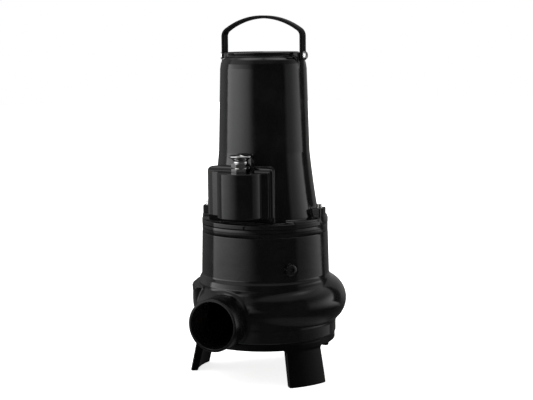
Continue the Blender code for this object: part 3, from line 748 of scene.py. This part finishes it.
SCREW_COUNTS = {"Count": 2, "Sides": 6}
SCREW_SIZES = {
    "Step Angle": 180.0, "First Angle": 0.0, "Ring Radius": 100.0, "Height": 0.0, "Tilt": 0.0,
    "Head Radius": 6.0, "Head Height": 5.0, "Top Radius": 5.5, "Socket Radius": 0.0, "Socket Depth": 0.0,
    "Washer Radius": 8.0, "Washer Height": 1.2, "Shank Radius": 3.0, "Shank Length": 10.0,
}


class Wire:
    """Output socket that takes part in arithmetic by adding Math nodes to its tree."""

    def __init__(self, tree, socket):
        self.tree = tree
        self.socket = socket

    def math(self, operation, *others):
        return self.tree.number(operation, self, *others)

    def __add__(self, other):
        return self.math("ADD", other)

    def __sub__(self, other):
        return self.math("SUBTRACT", other)

    def __mul__(self, other):
        return self.math("MULTIPLY", other)

    def __truediv__(self, other):
        return self.math("DIVIDE", other)

    def __rsub__(self, other):
        return self.tree.number("SUBTRACT", other, self)

    def __rtruediv__(self, other):
        return self.tree.number("DIVIDE", other, self)

    __radd__ = __add__
    __rmul__ = __mul__


class Tree:
    """Node tree that is filled by calls."""

    def __init__(self, nodes):
        self.nodes = nodes

    def node(self, kind, settings=None, sockets=None, out=0):
        """Adds a node, sets it up, then gives its sockets their values or links."""
        made = self.nodes.nodes.new(kind)
        for name, value in (settings or {}).items():
            setattr(made, name, value)
        for key, value in (sockets or {}).items():
            if isinstance(value, Wire):
                self.nodes.links.new(value.socket, made.inputs[key])
            else:
                made.inputs[key].default_value = value
        return Wire(self, made.outputs[out]) if made.outputs else made

    def number(self, operation, *values):
        return self.node("ShaderNodeMath", {"operation": operation}, dict(enumerate(values)))

    def output(self, wire, name):
        """Another output of the node that a wire comes from."""
        return Wire(self, wire.socket.node.outputs[name])

    def vectors(self, operation, first, second):
        return self.node("ShaderNodeVectorMath", {"operation": operation}, {0: first, 1: second})

    def scaled(self, vector, factor):
        return self.node("ShaderNodeVectorMath", {"operation": "SCALE"}, {0: vector, "Scale": factor})

    def blend(self, factor, first, second):
        sockets = {0: factor, 6: (*first, 1.0) if isinstance(first, tuple) else first, 7: (*second, 1.0)}
        return self.node("ShaderNodeMix", {"data_type": "RGBA"}, sockets, 2)

    def smooth(self, value, start, end, low_value=0.0, high_value=1.0):
        """Eases from the low value to the high one between start and end."""
        sockets = dict(enumerate((value, start, end, low_value, high_value)))
        return self.node("ShaderNodeMapRange", {"interpolation_type": "SMOOTHSTEP"}, sockets)


def screw_tree():
    """Screws on a ring, each with a chamfered head, a hexagon socket, a washer and a shank."""
    group = bpy.data.node_groups.new("screw_ring", "GeometryNodeTree")
    group.interface.new_socket("Geometry", in_out="OUTPUT", socket_type="NodeSocketGeometry")
    for kind, values in (("NodeSocketInt", SCREW_COUNTS), ("NodeSocketFloat", SCREW_SIZES)):
        for name, value in values.items():
            group.interface.new_socket(name, in_out="INPUT", socket_type=kind).default_value = value
    group.interface.new_socket("Material", in_out="INPUT", socket_type="NodeSocketMaterial")
    tree = Tree(group)
    start = tree.node("NodeGroupInput")
    given = {name: tree.output(start, name) for name in (*SCREW_COUNTS, *SCREW_SIZES, "Material")}

    def upright(kind, sockets, height):
        shape = tree.node(kind, {}, sockets)
        shift = tree.node("ShaderNodeCombineXYZ", {}, {2: height})
        return tree.node("GeometryNodeTransform", {}, {"Geometry": shape, "Translation": shift})

    def bar(sides, radius, depth, middle):
        sizes = {"Vertices": sides, "Radius": radius, "Depth": depth}
        return upright("GeometryNodeMeshCylinder", sizes, middle)

    def boolean(operation, sockets):
        settings = {"operation": operation, "solver": "EXACT"}
        return tree.node("GeometryNodeMeshBoolean", settings, sockets)

    head_middle = given["Washer Height"] + given["Head Height"] / 2
    head_end = given["Washer Height"] + given["Head Height"]
    body = bar(given["Sides"], given["Head Radius"], given["Head Height"], head_middle)
    cone_sizes = {"Vertices": 48, "Radius Top": given["Top Radius"], "Depth": given["Head Height"]}
    cone_sizes["Radius Bottom"] = given["Top Radius"] + given["Head Height"] * 1.8
    cone = upright("GeometryNodeMeshCone", cone_sizes, given["Washer Height"])
    head = boolean("INTERSECT", {1: body})
    tree.nodes.links.new(cone.socket, head.socket.node.inputs[1])
    socket = bar(6, given["Socket Radius"], given["Socket Depth"] * 2, head_end)
    head = boolean("DIFFERENCE", {0: head, 1: socket})
    washer = bar(64, given["Washer Radius"], given["Washer Height"], given["Washer Height"] / 2)
    shank = bar(32, given["Shank Radius"], given["Shank Length"], given["Shank Length"] * -0.5)
    screw = tree.node("GeometryNodeJoinGeometry")
    for shape in (head, washer, shank):
        tree.nodes.links.new(shape.socket, screw.socket.node.inputs[0])

    index = tree.node("GeometryNodeInputIndex")
    angle = (given["First Angle"] + given["Step Angle"] * index) * math.radians(1)
    outward = tree.node("ShaderNodeCombineXYZ", {}, {0: angle.math("SINE"), 1: angle.math("COSINE") * -1})
    lift = tree.node("ShaderNodeCombineXYZ", {}, {2: given["Height"]})
    spot = tree.vectors("ADD", tree.scaled(outward, given["Ring Radius"]), lift)
    points = tree.node("GeometryNodePoints", {}, {"Count": given["Count"], "Position": spot})
    lean = given["Tilt"] * math.radians(1)
    up = tree.node("ShaderNodeCombineXYZ", {}, {2: lean.math("COSINE")})
    direction = tree.vectors("ADD", tree.scaled(outward, lean.math("SINE")), up)
    turn = tree.node("FunctionNodeAlignRotationToVector", {"axis": "Z"}, {"Vector": direction})
    sockets = {"Points": points, "Instance": screw, "Rotation": turn}
    placed = tree.node("GeometryNodeInstanceOnPoints", {}, sockets)
    real = tree.node("GeometryNodeRealizeInstances", {}, {0: placed})
    shown = tree.node("GeometryNodeSetMaterial", {}, {"Geometry": real, "Material": given["Material"]})
    tree.node("NodeGroupOutput", {}, {0: shown})
    return group


def screws(name, material, replaced, slot, **sizes):
    """Runs the screw tree with the given sizes in millimetres and keeps its mesh."""
    holder = bpy.data.objects.new(name + "_holder", bpy.data.meshes.new(name + "_holder"))
    bpy.context.scene.collection.objects.link(holder)
    modifier = holder.modifiers.new("screws", "NODES")
    modifier.node_group = SCREW_TREE
    names = {item.name: item for item in SCREW_TREE.interface.items_tree if item.in_out == "INPUT"}
    for key, value in {**sizes, "Material": material}.items():
        modifier[names[key.replace("_", " ")].identifier] = value
    graph = bpy.context.evaluated_depsgraph_get()
    mesh = bpy.data.meshes.new_from_object(holder.evaluated_get(graph))
    bpy.data.objects.remove(holder)
    shape = bmesh.new()
    shape.from_mesh(mesh)
    bpy.data.meshes.remove(mesh)
    piece = seat(name, shape, Matrix(), material, replaced)
    sharpened(bevelled(piece, 0.3, 2, 32.0), 38.0)


def make_screws():
    """Handle bolts, flange screws, oil plugs and the bolts under the rim."""
    bolts = dict(Count=2, Step_Angle=180.0, Tilt=90.0)
    screws("handle_bolts", STEEL, ["handle_bolt_left", "handle_bolt_right"], "bright_steel", **bolts,
           First_Angle=90.0, Ring_Radius=HANDLE_HALF_SPAN, Height=HANDLE_BOLT_Z, Sides=6, Head_Radius=6.4,
           Head_Height=3.8, Top_Radius=5.4, Washer_Radius=6.6, Washer_Height=0.9, Shank_Radius=2.9,
           Shank_Length=10.0, Socket_Radius=0.01, Socket_Depth=0.01)
    for name, angle in LUGS:
        screws(f"lug_screw_{name}", STEEL, [f"flange_screw_{name}"], "bright_steel", Count=1, Tilt=0.0,
               First_Angle=angle, Ring_Radius=LUG_SCREW_R, Height=LUG_TOP, Sides=48, Head_Radius=4.6,
               Head_Height=4.6, Top_Radius=4.2, Washer_Radius=5.4, Washer_Height=1.0, Shank_Radius=2.9,
               Shank_Length=10.0, Socket_Radius=2.7, Socket_Depth=2.8)
    screws("oil_plugs", PLUG, ["oil_plug_front", "oil_plug_rear"], "plug_steel", **bolts,
           First_Angle=OIL_PLUG_ANGLE, Ring_Radius=OIL_PLUG_R, Height=OIL_PLUG_Z, Sides=64,
           Head_Radius=9.2, Head_Height=4.4, Top_Radius=8.4, Washer_Radius=10.8, Washer_Height=1.6,
           Shank_Radius=5.8, Shank_Length=10.0, Socket_Radius=5.2, Socket_Depth=4.0)
    screws("base_bolts", BLACK, [f"base_bolt_{i}" for i in (1, 2, 3)], "black_paint", Count=3,
           Step_Angle=120.0, First_Angle=BASE_BOLT_ANGLE, Tilt=180.0, Ring_Radius=BASE_BOLT_R,
           Height=SUCTION_FACE - 0.2, Sides=48, Head_Radius=6.0, Head_Height=4.2, Top_Radius=5.6,
           Washer_Radius=7.2, Washer_Height=1.0, Shank_Radius=3.3, Shank_Length=20.0, Socket_Radius=3.4,
           Socket_Depth=3.0)


def make_wear_ring():
    """Bronze ring pressed into the inlet."""
    outer = INLET_R - 0.3
    ring = [(RING_R + 1, 57.2), (RING_R + 0.3, 57.6), (RING_R, 58.4), (RING_R, 80.0), (outer, 80.0)]
    ring += [(outer, 58.4), (outer - 0.4, 57.6), (outer - 1.2, 57.2), (RING_R + 1, 57.2)]
    turned("inlet_ring", ring, BRONZE, ["wear_ring"])


def smooth_copy(node, name, material):
    """Welded copy of a CAD node that stands for it, shaded smooth between its true edges."""
    shape = bmesh.new()
    shape.from_mesh(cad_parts[node].data)
    bmesh.ops.remove_doubles(shape, verts=shape.verts, dist=0.00001)
    bmesh.ops.dissolve_limit(shape, angle_limit=0.002, verts=shape.verts, edges=shape.edges)
    sharpened(finish_piece(name, shape, material, [node]), 35.0)


# Finishes

def new_material(name):
    material = bpy.data.materials.new(name)
    material.use_nodes = True
    tree = Tree(material.node_tree)
    return material, tree, material.node_tree.nodes["Principled BSDF"]


def noise(tree, scale, detail=3.0, roughness=0.5, stretch=(1.0, 1.0, 1.0)):
    """Noise in object coordinates, with its size given as features per metre."""
    place = tree.node("ShaderNodeTexCoord", out="Object")
    sized = tree.node("ShaderNodeMapping", {}, {"Vector": place, "Scale": stretch})
    sockets = {"Vector": sized, "Scale": scale, "Detail": detail, "Roughness": roughness}
    return tree.node("ShaderNodeTexNoise", {}, sockets)


def drive(tree, shader, **sockets):
    """Links wires to sockets of a shader, with each space in a name written as an underscore."""
    for name, wire in sockets.items():
        tree.nodes.links.new(wire.socket, shader.inputs[name.replace("_", " ")])


def bump(tree, shader, height, strength, distance):
    sockets = {"Height": height, "Strength": strength, "Distance": distance}
    drive(tree, shader, Normal=tree.node("ShaderNodeBump", {}, sockets))


def near_black(shade):
    """Grey with a breath of blue."""
    return shade, shade, shade * 1.05


def black_enamel(name, sheen, dull, tone):
    """Sprayed black enamel over sand cast iron: slow waves, fine peel, thin spots on the edges."""
    material, tree, shader = new_material(name)
    shader.inputs["Specular IOR Level"].default_value = sheen
    waves = noise(tree, 38.0, 2.0)
    peel = noise(tree, 520.0, 2.0, 0.6)
    cast = noise(tree, 150.0, 4.0, 0.6)
    dust = tree.smooth(noise(tree, 24.0, 6.0, 0.65), 0.42, 0.72)
    worn = tree.smooth(tree.node("ShaderNodeNewGeometry", out="Pointiness"), 0.53, 0.62)
    paint = tree.blend(dust, near_black(tone), near_black(tone * 1.7))
    drive(tree, shader, Base_Color=tree.blend(worn * 0.5, paint, near_black(tone * 4)))
    drive(tree, shader, Roughness=dull + dust * 0.06 + cast * 0.05 + worn * 0.06)
    bump(tree, shader, waves * 0.5 + cast * 0.12 + peel * 0.035, 0.35, 0.0009)
    return material


def bright_metal(name, colour, base_roughness, scratch):
    """Turned and handled metal with fine marks and slightly dull spots."""
    material, tree, shader = new_material(name)
    shader.inputs["Metallic"].default_value = 1.0
    marks = noise(tree, 900.0, 3.0, 0.6, (1.0, 1.0, 0.15))
    dull = tree.smooth(noise(tree, 120.0, 4.0), 0.45, 0.7)
    darker = tuple(c * 0.72 for c in colour)
    drive(tree, shader, Base_Color=tree.blend(dull * 0.7, colour, darker))
    drive(tree, shader, Roughness=(dull * 0.75 + marks * 0.5 + 1) * base_roughness)
    bump(tree, shader, marks, scratch, 0.0001)
    return material


def seal_rubber():
    """Black rubber with a grey bloom."""
    material, tree, shader = new_material("black_seal_rubber")
    bloom = noise(tree, 300.0, 4.0)
    drive(tree, shader, Base_Color=tree.blend(bloom, (0.009, 0.009, 0.009), (0.024, 0.024, 0.023)))
    drive(tree, shader, Roughness=0.55 + bloom * 0.2)
    bump(tree, shader, bloom, 0.3, 0.0002)
    return material


def raw_iron():
    """Bare cast iron with a sandy skin and a breath of rust."""
    material, tree, shader = new_material("raw_cast_iron")
    shader.inputs["Metallic"].default_value = 0.55
    sand = noise(tree, 700.0, 5.0, 0.65)
    rust = tree.smooth(noise(tree, 60.0, 6.0, 0.6), 0.5, 0.75)
    drive(tree, shader, Base_Color=tree.blend(rust * 0.6, (0.045, 0.043, 0.041), (0.05, 0.032, 0.022)))
    drive(tree, shader, Roughness=0.5 + sand * 0.2 + rust * 0.15)
    bump(tree, shader, sand, 0.5, 0.0004)
    return material


def floor_finish():
    """White studio floor that keeps a faint shadow near the feet."""
    material, tree, shader = new_material("pale_floor")
    place = tree.node("ShaderNodeTexCoord", out="Object")
    distance = tree.node("ShaderNodeVectorMath", {"operation": "LENGTH"}, {0: place}, "Value")
    far = tree.smooth(distance, 0.3, 2.4)
    grain = noise(tree, 40.0, 4.0)
    drive(tree, shader, Base_Color=tree.blend(grain, (0.86, 0.86, 0.86), (0.9, 0.9, 0.9)))
    shader.inputs["Roughness"].default_value = 0.8
    shader.inputs["Specular IOR Level"].default_value = 0.1
    shader.inputs["Emission Color"].default_value = (1.0, 1.0, 1.0, 1.0)
    drive(tree, shader, Emission_Strength=0.8 + far * 0.2)
    return material


# Studio

def make_floor():
    """Round floor that is seen but not mirrored in the pump."""
    shape = bmesh.new()
    bmesh.ops.create_circle(shape, cap_ends=True, segments=96, radius=9.0)
    mesh = bpy.data.meshes.new("studio_floor")
    shape.to_mesh(mesh)
    shape.free()
    floor = bpy.data.objects.new("studio_floor", mesh)
    bpy.context.scene.collection.objects.link(floor)
    mesh.materials.append(floor_finish())
    floor.visible_glossy = False


def make_studio():
    """Two tall soft boxes, dimmer ones behind, one overhead and dark flags, by direction.

    The side is the bearing from the camera and the rise the angle above level, both in degrees.
    Rays from the camera see a white backdrop instead.
    """
    world = bpy.data.worlds.new("studio")
    bpy.context.scene.world = world
    world.use_nodes = True
    world.node_tree.nodes.clear()
    tree = Tree(world.node_tree)
    ray = tree.node("ShaderNodeTexCoord", out="Generated")
    split = tree.node("ShaderNodeSeparateXYZ", {}, {0: ray})
    east, north, up = (tree.output(split, axis) for axis in "XYZ")
    bearing = tree.number("ARCTAN2", east, north * -1) * math.degrees(1) - CAMERA_AZIMUTH
    side = tree.number("WRAP", bearing, 180.0, -180.0)
    rise = up.math("ARCSINE") * math.degrees(1)
    drop = rise.math("MINIMUM", 0.0)
    climb = rise.math("MAXIMUM", 0.0)
    left = tree.smooth(side, -110.0, -106.0) * tree.smooth(side, -78.0, -18.0, 1.95, 0.42)
    left = left * tree.smooth(side + drop * 1.6, -44.0, -22.0, 1.0, 0.0)
    left = left * tree.smooth(rise, 5.0, 18.0, 1.0, 0.28)
    right = tree.smooth(side, 54.0, 64.0) * tree.smooth(side, 64.0, 116.0, 0.29, 1.2)
    right = right * tree.smooth(side + drop * 1.8 - climb * 0.6, 104.0, 109.0, 1.0, 0.0)
    right = right * tree.smooth(rise, 6.0, 24.0, 1.0, 0.3)
    back_left = tree.smooth(side, -165.0, -118.0, 0.03, 0.21)
    back_left = back_left * tree.smooth(side, -112.0, -108.0, 1.0, 0.0)
    back_right = tree.smooth(side, 131.0, 136.0) * 0.12
    bands = (left + right + back_left + back_right) * tree.smooth(rise, -19.0, 4.0)
    bands = bands * tree.smooth(rise, 34.0, 52.0, 1.0, 0.2)
    front = tree.smooth(side.math("ABSOLUTE"), 40.0, 90.0, 0.12, 1.0)
    overhead = tree.smooth(rise, 46.0, 66.0) * front * 1.1
    ceiling = tree.smooth(rise, 30.0, 44.0) * tree.smooth(rise, 68.0, 82.0, 0.22, 0.0)
    table = tree.smooth(rise, -46.0, -34.0, 0.1, 0.0)
    seen = (bands + overhead + ceiling + table) * LAMP_POWER + GLOOM
    shade = tree.node("ShaderNodeCombineXYZ", {}, {0: seen, 1: seen, 2: seen})
    light = tree.node("ShaderNodeBackground", {}, {0: shade})
    backdrop = tree.node("ShaderNodeBackground", {}, {0: (1.0, 1.0, 1.0, 1.0)})
    camera_ray = tree.node("ShaderNodeLightPath", out="Is Camera Ray")
    mixed = tree.node("ShaderNodeMixShader", {}, {0: camera_ray, 1: light, 2: backdrop})
    tree.node("ShaderNodeOutputWorld", {}, {0: mixed})


def make_camera():
    """Camera where the photograph was taken from, with its long lens."""
    turn = math.radians(CAMERA_AZIMUTH)
    across = math.cos(turn), math.sin(turn)
    spot = to_frame((CAMERA_DISTANCE * across[1], -CAMERA_DISTANCE * across[0], CAMERA_HEIGHT))
    aim = to_frame((AIM_SIDE * across[0], AIM_SIDE * across[1], AIM_HEIGHT))
    lens = bpy.data.cameras.new("photo_view")
    lens.sensor_width = SENSOR
    lens.lens = FOCAL_PIXELS * SENSOR / IMAGE_WIDTH
    camera = bpy.data.objects.new("photo_view", lens)
    bpy.context.scene.collection.objects.link(camera)
    level = Vector(aim - spot).to_track_quat("-Z", "Y").to_matrix().to_4x4()
    rolled = level @ Matrix.Rotation(math.radians(CAMERA_ROLL), 4, "Z")
    camera.matrix_world = Matrix.Translation(spot) @ rolled
    bpy.context.scene.camera = camera


# Profiles that the castings are turned from: two reach past the axis, the disc surrounds the inlet

shell = [(AXIS_SIDE, COVER_JOINT - 0.3), (60.8, COVER_JOINT - 0.3), (61.5, 546.6), (66.4, 545.0)]
shell += [(70.2, 541.2), (72.6, 534.4), (73.8, 526.0), (77.9, 386.0), (80.2, 364.0), (84.1, 332.0)]
shell += [(87.7, 306.0), (91.3, 285.0), (94.0, FLANGE_TOP), (FLANGE_R, FLANGE_TOP)]
shell += [(FLANGE_R, MOTOR_JOINT), (AXIS_SIDE, MOTOR_JOINT)]
MOTOR_SHELL = turned_field(softened(shell, 1.3))
housing = [(AXIS_SIDE, OIL_JOINT), (108.4, OIL_JOINT), (110.2, 175.6), (113.4, 170.0)]
housing += [(CASING_NECK_R, 162.0), (CASING_NECK_R, 138.0), (CASING_R, 127.0), (CASING_R, 96.4)]
housing += [(CASING_RIM_R, 94.8), (CASING_RIM_R, SUCTION_JOINT + 1.6), (CASING_RIM_R - 1.4, SUCTION_JOINT)]
housing += [(CASING_RIM_R - 1.4, SUCTION_JOINT - 4), (AXIS_SIDE, SUCTION_JOINT - 4)]
OIL_HOUSING = turned_field(softened(housing, 1.6))
disc = [(INLET_R, 80.0), (CHAMBER_R - 0.3, 80.0), (CHAMBER_R - 0.3, SUCTION_JOINT - 0.3)]
disc += [(RIM_R, SUCTION_JOINT - 0.3), (RIM_R, SUCTION_FACE), (61.0, SUCTION_FACE)]
disc += [(57.5, 57.0), (INLET_R, 57.0)]
SUCTION_DISC = turned_field(softened(disc + [disc[0]], 1.4)[:-1])

BLACK = black_enamel("gloss_black_enamel", 0.24, 0.08, 0.0022)
# Satin copy of the enamel for the handle, the suction cover and its feet: lower sheen, and a darker colour
# that is painted shade
SATIN_SHADED = black_enamel("satin_black_enamel_painted_shade", 0.07, 0.3, 0.0008)
# Duller copy of the enamel for the outlet pipe: lower sheen dims its highlights, and its slightly darker
# colour is painted shade
PIPE_ENAMEL_SHADED = black_enamel("pipe_black_enamel_painted_shade", 0.16, 0.2, 0.0018)
STEEL = bright_metal("bright_screw_steel", (0.60, 0.60, 0.59), 0.16, 0.2)
CHROME = bright_metal("plated_gland_brass", (0.48, 0.48, 0.475), 0.03, 0.03)
PLUG = bright_metal("darkened_plug_steel", (0.075, 0.075, 0.078), 0.2, 0.3)
BRONZE = bright_metal("turned_ring_bronze", (0.42, 0.27, 0.11), 0.24, 0.3)
SHAFT = bright_metal("ground_shaft_steel", (0.55, 0.55, 0.54), 0.2, 0.2)
RUBBER = seal_rubber()
IRON = raw_iron()
SCREW_TREE = screw_tree()

make_castings()
make_outlet()
make_covers()
make_handle()
make_terminal_cover()
make_gland()
make_screws()
make_wear_ring()
smooth_copy("impeller", "vortex_impeller", IRON)
smooth_copy("shaft", "motor_shaft", SHAFT)
smooth_copy("impeller_bolt", "impeller_screw", STEEL)
make_floor()
make_studio()
make_camera()
bpy.context.scene.view_settings.view_transform = "Standard"
